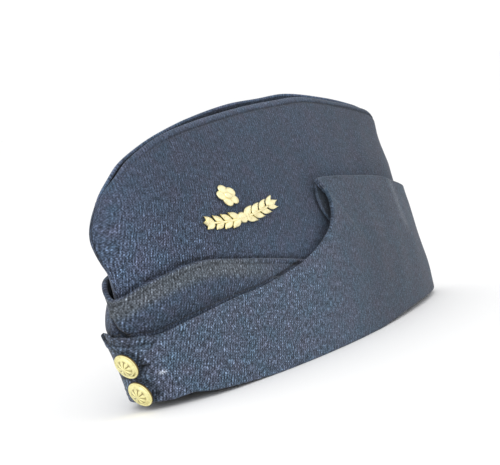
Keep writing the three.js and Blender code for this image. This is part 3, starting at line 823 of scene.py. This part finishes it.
def curtain_wall(side, name, turns, extra, foot, lift, flare, rounding, marks):
    """The standing part of a flap, with the end that carries on past the middle of the front."""
    ups = edged(70, 60, CURTAIN_CLOTH / 2)[None, :]
    end = -turns.min()
    corner = lift * smooth(-turns, 0, 0.5 * end) - rounding * smooth(-turns, 0.7 * end, end) ** 2
    way = np.abs(turns)
    edge = np.where(turns < 0, turns, read(FLAP, "edge", way))
    past = np.where(turns < 0, 1.0, 0.0)
    line = lerp(turns, edge, ups)
    top = read(FLAP, "height", way) * FLAP_HEIGHT + corner
    height = lerp(edge_lift(way) + foot * past, top, ups)
    curl = flare * smooth(-turns, 0, end) * ups ** 6
    off = stand_off(way, ups) + extra(way) + curl
    middle, outward = stood_off(side, line, height, off + CURTAIN_CLOTH / 2)
    up = run_along(middle, 1)
    below_top = up[:, -1:] - up
    sag = waves(run_along(middle, 0), up, 21 + side) * smooth(up, 4, 22) * smooth(below_top, 2, 14)
    relief, worn, dark = marks(level_length(line), height, below_top)
    fold_wear = 0.3 if side > 0 else 0.1
    worn = np.maximum(worn, fold_wear * rear_fold(line, height))
    # Painted shade, darker towards the rear of the flap.
    dark = dark + 0.3 * smooth(line, 0.45, 0.65)
    return sheet(name, middle, outward, CURTAIN_CLOTH, weave(line, height), 0.4 * sag + relief,
                 worn=worn, dark=dark, coarse=smooth(line, 0.6, 0.35))


def curtain_hem(side, name, extra):
    """The lower edge, folded in under the crown's foot and up inside it."""
    turns = np.linspace(0.004, 0.996, 200)[:, None]
    low = edge_lift(turns) + HEM_FOLD / 2
    out = stand_off(turns, 0 * turns) + extra(turns) + CURTAIN_CLOTH * 0.6
    inside = -(CROWN_CLOTH + CLEARANCE + HEM_FOLD / 2)
    bend = 1.2
    inward = np.linspace(0, 1, 12)[None, :]
    angle = np.linspace(0, np.pi / 2, 6)[None, 1:]
    rising = np.linspace(0, 1, 8)[None, 1:]
    off = np.concatenate([
        lerp(out, inside + bend, inward),
        inside + bend - bend * np.sin(angle) + 0 * turns,
        inside + 0 * rising + 0 * turns,
    ], 1)
    height = np.concatenate([
        low + 0 * inward,
        low + bend - bend * np.cos(angle),
        lerp(low + bend, low - HEM_FOLD / 2 + HEM_RISE, rising),
    ], 1)
    return sheet(name, around(side, turns, height, off), np.array([0, 0, -1.0]), HEM_FOLD)


def left_over(at):
    """How much further out the left flap stands at the front, where it lies over the right one."""
    under = reach_turn(UNDERLAP_REACH)
    return OVERLAP * (1 - smooth(at, 1.15 * under, 1.9 * under))


def right_over(at):
    return 0 * at


def flap_turns(reach):
    """Turns along a flap, from its end past the middle of the front to the rear."""
    past = 1 - edged(16, reach, CURTAIN_CLOTH / 2)[:-5]
    return np.concatenate([-reach_turn(reach) * past, np.linspace(0.003, 1, 230)])[:, None]


def left_curtain():
    """The left flap, with the buttoned end."""
    return curtain_wall(1, "curtain_left_cloth", flap_turns(TAB_REACH), left_over,
                        0, TAB_RISE, TAB_FLARE / 2, TAB_ROUNDING, tab_marks)


def right_curtain():
    """The right flap, whose end lies under the left one."""
    return curtain_wall(-1, "curtain_right_cloth", flap_turns(UNDERLAP_REACH), right_over,
                        HEM_FOLD + CLEARANCE, -UNDERLAP_DROP, 0, 0, no_marks)


def flap_facing(side, name):
    """The flap's inner layer, whose edge shows in the gap between the flap and the crown."""
    heights = np.linspace(62, 88, 44)[None, :]
    steps = edged(8, 9, 0.6, 3)[:, None]
    edge = 0.53 + 0.012 * smooth(heights, 76, 62) + 0.008 * smooth(heights, 80, 88)
    turns = edge + 0.03 * steps
    middle, outward = stood_off(side, turns, heights, CLEARANCE + 1.2 + 1.2 * steps)
    # Painted shade on the layer past its edge, where it lies deeper in the gap.
    dark = 0.65 * smooth(run_along(middle, 0), 0.5, 1.6)
    return sheet(name, middle, outward, FACING_CLOTH, weave(turns, heights), dark=dark)


# Buttons

def button_seat(turn, height):
    """Frame of a button: it stands off the outer face of the buttoned end just enough to droop."""
    low = float(edge_lift(0.0))
    up = (height - low) / (float(read(FLAP, "height", 0)) * FLAP_HEIGHT - low)
    rise = (height - crown_foot(0.0)) / (ridge_top(1, 0.0) - crown_foot(0.0))
    yaw, droop = math.radians(BUTTON_YAW), math.radians(BUTTON_DROOP)
    facing = unit(np.array([math.sin(yaw), -math.cos(yaw), -math.tan(droop)]))
    lean = math.acos(facing @ crown_facing(1, np.array(turn), np.array(rise)))
    proud = BUTTON_DIAMETER / 2 * math.sin(lean) + 2 * CLEARANCE
    off = float(stand_off(0.0, up)) + OVERLAP + CURTAIN_CLOTH + proud
    seat = around(1, np.array(turn), height, off)
    across = unit(np.array([1.0, 0, 0]) - facing * facing[0])
    return seat, np.stack([across, np.cross(facing, across), facing])


# Name, turn and height of each button
BUTTONS = (
    ("button_upper", 0.008, LOWER_BUTTON_HEIGHT + BUTTON_SPACING),
    ("button_lower", 0.018, LOWER_BUTTON_HEIGHT),
)

# The slits that the buttons come through, and how plainly each one shows
SLIT_LENGTH = 6.6
SLIT_DROP = 1.2
SLIT_SHOWS = (1, 0.4)

# Half of a button's section, its distances from the middle in radii: the rings of its dome, and
# then the distance and height of its raised rim, its side and its back
DOME_RINGS = np.array([0, 0.1, 0.2, 0.3, 0.4, 0.5, 0.58, 0.66, 0.7, 0.74, 0.8])
DOME_REACH = 0.88
RIM_RINGS = np.array([(0.85, 1.2), (0.89, 1.35), (0.93, 1.5), (0.97, 1.4)])
SIDE_RINGS = np.array([(1, 1.1), (1, 0.5), (0.97, 0.15), (0.9, 0), (0.3, 0), (0, 0)])
PETALS_ON_BUTTON = 8


def button_relief(radius, angle):
    """Height of a plain eight-petalled flower in a ring, on the button's dome."""
    inside = radius / (BUTTON_DIAMETER / 2)
    petals = 0.5 + 0.5 * np.cos(PETALS_ON_BUTTON * angle)
    flower = smooth(inside, 0.62, 0.5) * smooth(inside, 0.12, 0.22) * petals
    eye = smooth(inside, 0.16, 0.1)
    ring = bell(inside, 0.7, 0.045)
    return 0.5 * flower + 0.5 * eye + 0.35 * ring


def button(name, turn, height):
    """A domed button with a raised rim, with grime in its hollows and painted shade on its side and
    back.
    """
    seat, axes = button_seat(turn, height)
    radius = BUTTON_DIAMETER / 2
    dome = BUTTON_RIM + (BUTTON_DOME - BUTTON_RIM) * (1 - (DOME_RINGS / DOME_REACH) ** 2)
    out = np.concatenate([DOME_RINGS, RIM_RINGS[:, 0], SIDE_RINGS[:, 0]]) * radius
    level = np.concatenate([dome, RIM_RINGS[:, 1], SIDE_RINGS[:, 1]])
    count = 96
    angles = np.linspace(0, 2 * np.pi, count, endpoint=False)
    r, a = np.meshgrid(out[1:-1], angles, indexing="ij")
    relief = button_relief(r, a)
    first_rim_ring = len(DOME_RINGS) - 1
    first_side_ring = first_rim_ring + len(RIM_RINGS)
    z = level[1:-1, None] + 0 * a
    z[:first_rim_ring] += relief[:first_rim_ring]
    middle = [0, 0, level[0] + float(button_relief(np.array(0.0), np.array(0.0)))]
    local = np.stack([r * np.cos(a), r * np.sin(a), z], -1).reshape(-1, 3)
    local = np.concatenate([local, [middle, [0, 0, 0]]])
    rings = len(r)
    index = np.arange(rings * count).reshape(rings, count)
    nxt = np.roll(index, -1, 1)
    faces = np.stack([index[:-1], index[1:], nxt[1:], nxt[:-1]], -1).reshape(-1, 4).tolist()
    faces += [[rings * count, index[0, k], nxt[0, k]] for k in range(count)]
    faces += [[rings * count + 1, nxt[-1, k], index[-1, k]] for k in range(count)]
    obj = new_object(name + "_gilt", seat + local @ axes, faces)
    worked = smooth(r / radius, 0.64, 0.56) * smooth(r / radius, 0.05, 0.12)
    grime_and_side_shade = 0.8 * worked * smooth(relief, 0.16, 0.03)
    # Painted shade on the button's side and back.
    grime_and_side_shade[first_side_ring:] = 0.95
    mark(obj, "grime_and_side_shade", np.concatenate([grime_and_side_shade.ravel(), [0, 0]]))
    return obj


# Badge

def laid_on_crown(points, turn, height, tilt):
    """Flat shapes on the left side of the crown: their x runs rearward and their y runs up."""
    cos, sin = math.cos(math.radians(tilt)), math.sin(math.radians(tilt))
    x = points[:, 0] * cos - points[:, 1] * sin
    y = points[:, 0] * sin + points[:, 1] * cos
    centre = around(1, np.array(turn), height, 0)
    step = 0.01  # of a turn
    per_turn = np.linalg.norm(around(1, np.array(turn + step), height, 0) - centre) / step
    per_rise = np.linalg.norm(around(1, np.array(turn), height + 1, 0) - centre)
    return around(1, turn + x / per_turn, height + y / per_rise, CLEARANCE + points[:, 2])


def leaf_shape(size):
    """A pointed leaf with a raised rib and slanting veins, grown from the origin along x."""
    root = 1.2
    veins_along = 5.5
    slant = 1.6
    along = np.linspace(0, 1, 19)[:, None]
    across = np.linspace(-1, 1, 13)[None, :]
    half = LEAF_WIDTH / 2 * np.maximum(np.sin(np.pi * along ** 0.85), 0.04)
    rib = bell(across, 0, 0.14)
    veins = 0.5 + 0.5 * np.cos(2 * np.pi * (veins_along * along - slant * np.abs(across)))
    z = BADGE_METAL * (0.95 - 0.5 * across ** 2) + 0.25 * rib + 0.2 * veins * (1 - across ** 2)
    top = np.stack([LEAF_LENGTH * along - root + 0 * across, across * half, z], -1) * size
    return top, flat_below(top)


def flat_below(top):
    bottom = top.copy()
    bottom[..., 2] = 0
    return bottom


def closed_grid(top, bottom):
    """Vertices and faces of a solid between a top and a bottom grid."""
    m, n = top.shape[:2]
    index = np.arange(m * n).reshape(m, n)
    under = index + m * n
    upper = np.stack([index[:-1, :-1], index[1:, :-1], index[1:, 1:], index[:-1, 1:]], -1)
    lower = np.stack([under[:-1, :-1], under[:-1, 1:], under[1:, 1:], under[1:, :-1]], -1)
    rim = np.concatenate([index[:, 0], index[-1, 1:], index[-2::-1, -1], index[0, -2:0:-1]])
    low = rim + m * n
    wall = np.stack([rim, low, np.roll(low, -1), np.roll(rim, -1)], -1)
    places = np.concatenate([top.reshape(-1, 3), bottom.reshape(-1, 3)])
    return places, np.concatenate([upper.reshape(-1, 4), lower.reshape(-1, 4), wall])


def dome_shape(x, y, diameter, height):
    """A small domed boss."""
    r = np.linspace(0.02, 1, 9)[:, None] * diameter / 2
    a = np.linspace(0, 2 * np.pi, 25)[None, :]
    z = height * np.sqrt(np.clip(1 - (r / (diameter / 2)) ** 2, 0, 1)) + 0.25 * height
    top = np.stack([x + r * np.cos(a), y + r * np.sin(a), z + 0 * a], -1)
    return top, flat_below(top)


def joined(parts):
    """Several solids' vertices and faces as one."""
    places, faces, start = [], [], 0
    for points, quads in parts:
        places.append(points)
        faces.extend((quads + start).tolist())
        start += len(points)
    return np.concatenate(places), faces


def turned(grid, angle, x, y):
    """A grid of places turned about the origin and then moved."""
    cos, sin = math.cos(angle), math.sin(angle)
    out = grid.copy()
    out[..., 0] = grid[..., 0] * cos - grid[..., 1] * sin + x
    out[..., 1] = grid[..., 0] * sin + grid[..., 1] * cos + y
    return out


def stem_height(x):
    return STEM_BEND * x * x - 1


def leaf_on_stem(way, x, lean, size):
    """A leaf that leaves the stem at x on one side of the knot."""
    angle = lean if way > 0 else math.pi - lean
    top, bottom = leaf_shape(size)
    place = way * x, stem_height(x)
    return closed_grid(turned(top, angle, *place), turned(bottom, angle, *place))


def stem(way, reach):
    """One side's stem, round on top."""
    along = np.linspace(0, way * reach, 15)[:, None]
    across = np.linspace(-1, 1, 7)[None, :]
    z = 1.25 * np.sqrt(1 - 0.8 * across ** 2) + 0.35
    top = np.stack([along + 0 * across, stem_height(along) + STEM_WIDTH / 2 * across, z + 0 * along], -1)
    return closed_grid(top, flat_below(top))


def spray():
    """Two leafy sprigs that spread from a knot."""
    parts = [closed_grid(*dome_shape(0, stem_height(0), KNOT_DIAMETER, 1.6))]
    reach = SPRAY_WIDTH / 2 - LEAF_LENGTH * 0.9
    for way in (-1, 1):
        for i, x in enumerate(np.linspace(FIRST_PAIR, reach, LEAF_PAIRS)):
            heading = math.atan(2 * STEM_BEND * x)
            for spread in (0.62, -0.5):
                parts.append(leaf_on_stem(way, x, heading + spread, 1 - 0.05 * i))
        parts.append(leaf_on_stem(way, reach, 0.2, 0.95))
        parts.append(stem(way, reach))
    places, faces = joined(parts)
    places = laid_on_crown(places, SPRAY_TURN, SPRAY_HEIGHT, SPRAY_TILT)
    return new_object("badge_spray_gilt", places, faces)


def rosette():
    """A small flower of five petals."""
    petals = 5
    petal = ROSETTE_DIAMETER * 0.4
    ring = (ROSETTE_DIAMETER - petal) / 2
    parts = [closed_grid(*dome_shape(0, 0, petal, 1.9))]
    for i in range(petals):
        angle = math.pi / 2 + 2 * math.pi * i / petals
        x, y = ring * math.cos(angle), ring * math.sin(angle)
        parts.append(closed_grid(*dome_shape(x, y, petal * 1.15, 1.1)))
    places, faces = joined(parts)
    places = laid_on_crown(places, ROSETTE_TURN, ROSETTE_HEIGHT, ROSETTE_TILT)
    return new_object("badge_rosette_gilt", places, faces)


# Studio

def add_floor():
    size = 6.0
    corners = [(-size, -size, 0), (size, -size, 0), (size, size, 0), (-size, size, 0)]
    mesh = bpy.data.meshes.new("floor")
    mesh.from_pydata(corners, [], [(0, 1, 2, 3)])
    floor = bpy.data.objects.new("floor", mesh)
    bpy.context.scene.collection.objects.link(floor)
    floor.data.materials.append(material("floor_white", (0.96, 0.96, 0.96), 0.9))


def add_light(name, direction, distance, size, power):
    """A square soft light that looks at the middle of the cap."""
    lamp = bpy.data.lights.new(name, "AREA")
    lamp.size = size
    lamp.energy = power
    obj = bpy.data.objects.new(name, lamp)
    bpy.context.scene.collection.objects.link(obj)
    way = Vector(direction).normalized()
    target = Vector((0, 0, 0.07))
    obj.location = target + way * distance
    obj.rotation_euler = way.to_track_quat("Z", "Y").to_euler()


def add_world():
    world = bpy.data.worlds.new("studio")
    bpy.context.scene.world = world
    world.use_nodes = True
    sky = world.node_tree.nodes["Background"]
    sky.inputs["Color"].default_value = (1, 1, 1, 1)
    sky.inputs["Strength"].default_value = 1.05


# The camera looks at the cap from its front left, a little from above and tipped sideways
CAMERA_AZIMUTH = 38.94
CAMERA_ELEVATION = 5.83
CAMERA_ROLL = 10.94
CAMERA_TARGET = (0.0100, -0.0317, 0.0713)
CAMERA_DISTANCE = 0.8857
CAMERA_LENS = 117.94


def add_camera():
    azimuth, elevation, roll = map(math.radians, (CAMERA_AZIMUTH, CAMERA_ELEVATION, CAMERA_ROLL))
    back = Vector((math.sin(azimuth) * math.cos(elevation),
                   -math.cos(azimuth) * math.cos(elevation), math.sin(elevation)))
    level = Vector((math.cos(azimuth), math.sin(azimuth), 0))
    up = back.cross(level)
    across = level * math.cos(roll) - up * math.sin(roll)
    upward = level * math.sin(roll) + up * math.cos(roll)
    data = bpy.data.cameras.new("camera")
    data.sensor_width = 36
    data.lens = CAMERA_LENS
    camera = bpy.data.objects.new("camera", data)
    bpy.context.scene.collection.objects.link(camera)
    pose = Matrix((across, upward, back)).transposed().to_4x4()
    pose.translation = Vector(CAMERA_TARGET) + back * CAMERA_DISTANCE
    camera.matrix_world = pose
    bpy.context.scene.camera = camera


# Building the scene

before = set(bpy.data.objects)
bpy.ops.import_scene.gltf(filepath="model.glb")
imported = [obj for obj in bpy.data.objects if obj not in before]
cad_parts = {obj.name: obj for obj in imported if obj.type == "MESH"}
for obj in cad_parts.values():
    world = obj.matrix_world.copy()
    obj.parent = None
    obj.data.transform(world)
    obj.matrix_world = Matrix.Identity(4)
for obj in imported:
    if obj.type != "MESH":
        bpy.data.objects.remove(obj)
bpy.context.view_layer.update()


def solids_origin():
    """Where the solids' own origin lies in these millimetres, from the left panel's front."""
    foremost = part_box("crown_left")[0][1] / MM
    rises = 1 - np.linspace(1, 0, 10)[None, :] ** 1.6
    panel = on_crown(1, np.linspace(0, 1, 33)[:, None], rises)
    return np.array([0.0, panel[..., 1].min() - foremost, 0.0])


ORIGIN = solids_origin()

# The crown's wool is painted darker than the curtain's, as shade for the crown leaning back from the
# lights, and the peak's is darker still.
CROWN_WOOL = wool("crown_wool", (0.048, 0.066, 0.105), (0.09, 0.10, 0.12))
CURTAIN_WOOL = wool("curtain_wool", (0.056, 0.075, 0.111), (0.30, 0.33, 0.38))
PEAK_WOOL = wool("peak_wool", (0.041, 0.056, 0.088), (0.082, 0.092, 0.102))
THREAD = material("blue_thread", (0.04, 0.05, 0.075), 0.7)
BADGE_GILT = gilt("badge_gilt", (0.96, 0.88, 0.54), 0.3)
BUTTON_GILT = gilt("button_gilt", (0.94, 0.88, 0.46), 0.34)

dress(crown_panel(1, "crown_left_cloth"), CROWN_WOOL, "crown_cloth", "crown_left")
dress(crown_panel(-1, "crown_right_cloth"), CROWN_WOOL, "crown_cloth", "crown_right")
dress(gusset(), CROWN_WOOL, "gusset_cloth", "crown_gusset")
dress(peak(), PEAK_WOOL, "peak_cloth", "peak")
dress(left_curtain(), CURTAIN_WOOL, "curtain_cloth", "curtain_left")
dress(right_curtain(), CURTAIN_WOOL, "curtain_cloth", "curtain_right")
for side, side_name in ((1, "left"), (-1, "right")):
    dress(ridge_stitches(side, f"crown_{side_name}_stitches"), THREAD, None)
    dress(flap_facing(side, f"curtain_{side_name}_facing"), CURTAIN_WOOL, "curtain_cloth")
dress(curtain_hem(1, "curtain_left_hem", left_over), CURTAIN_WOOL, "curtain_cloth")
dress(curtain_hem(-1, "curtain_right_hem", right_over), CURTAIN_WOOL, "curtain_cloth")
for button_name, button_turn, button_height in BUTTONS:
    dress(button(button_name, button_turn, button_height), BUTTON_GILT, "button_gilt", button_name)
dress(spray(), BADGE_GILT, "badge_gilt", "badge_spray")
dress(rosette(), BADGE_GILT, "badge_gilt", "badge_rosette")

add_floor()
add_world()
add_light("key", (0.5, -1.0, 0.55), 1.6, 1.4, 9)
add_light("fill", (1.0, 0.4, 0.5), 1.8, 1.4, 2)
add_camera()
bpy.context.scene.view_settings.view_transform = "Standard"
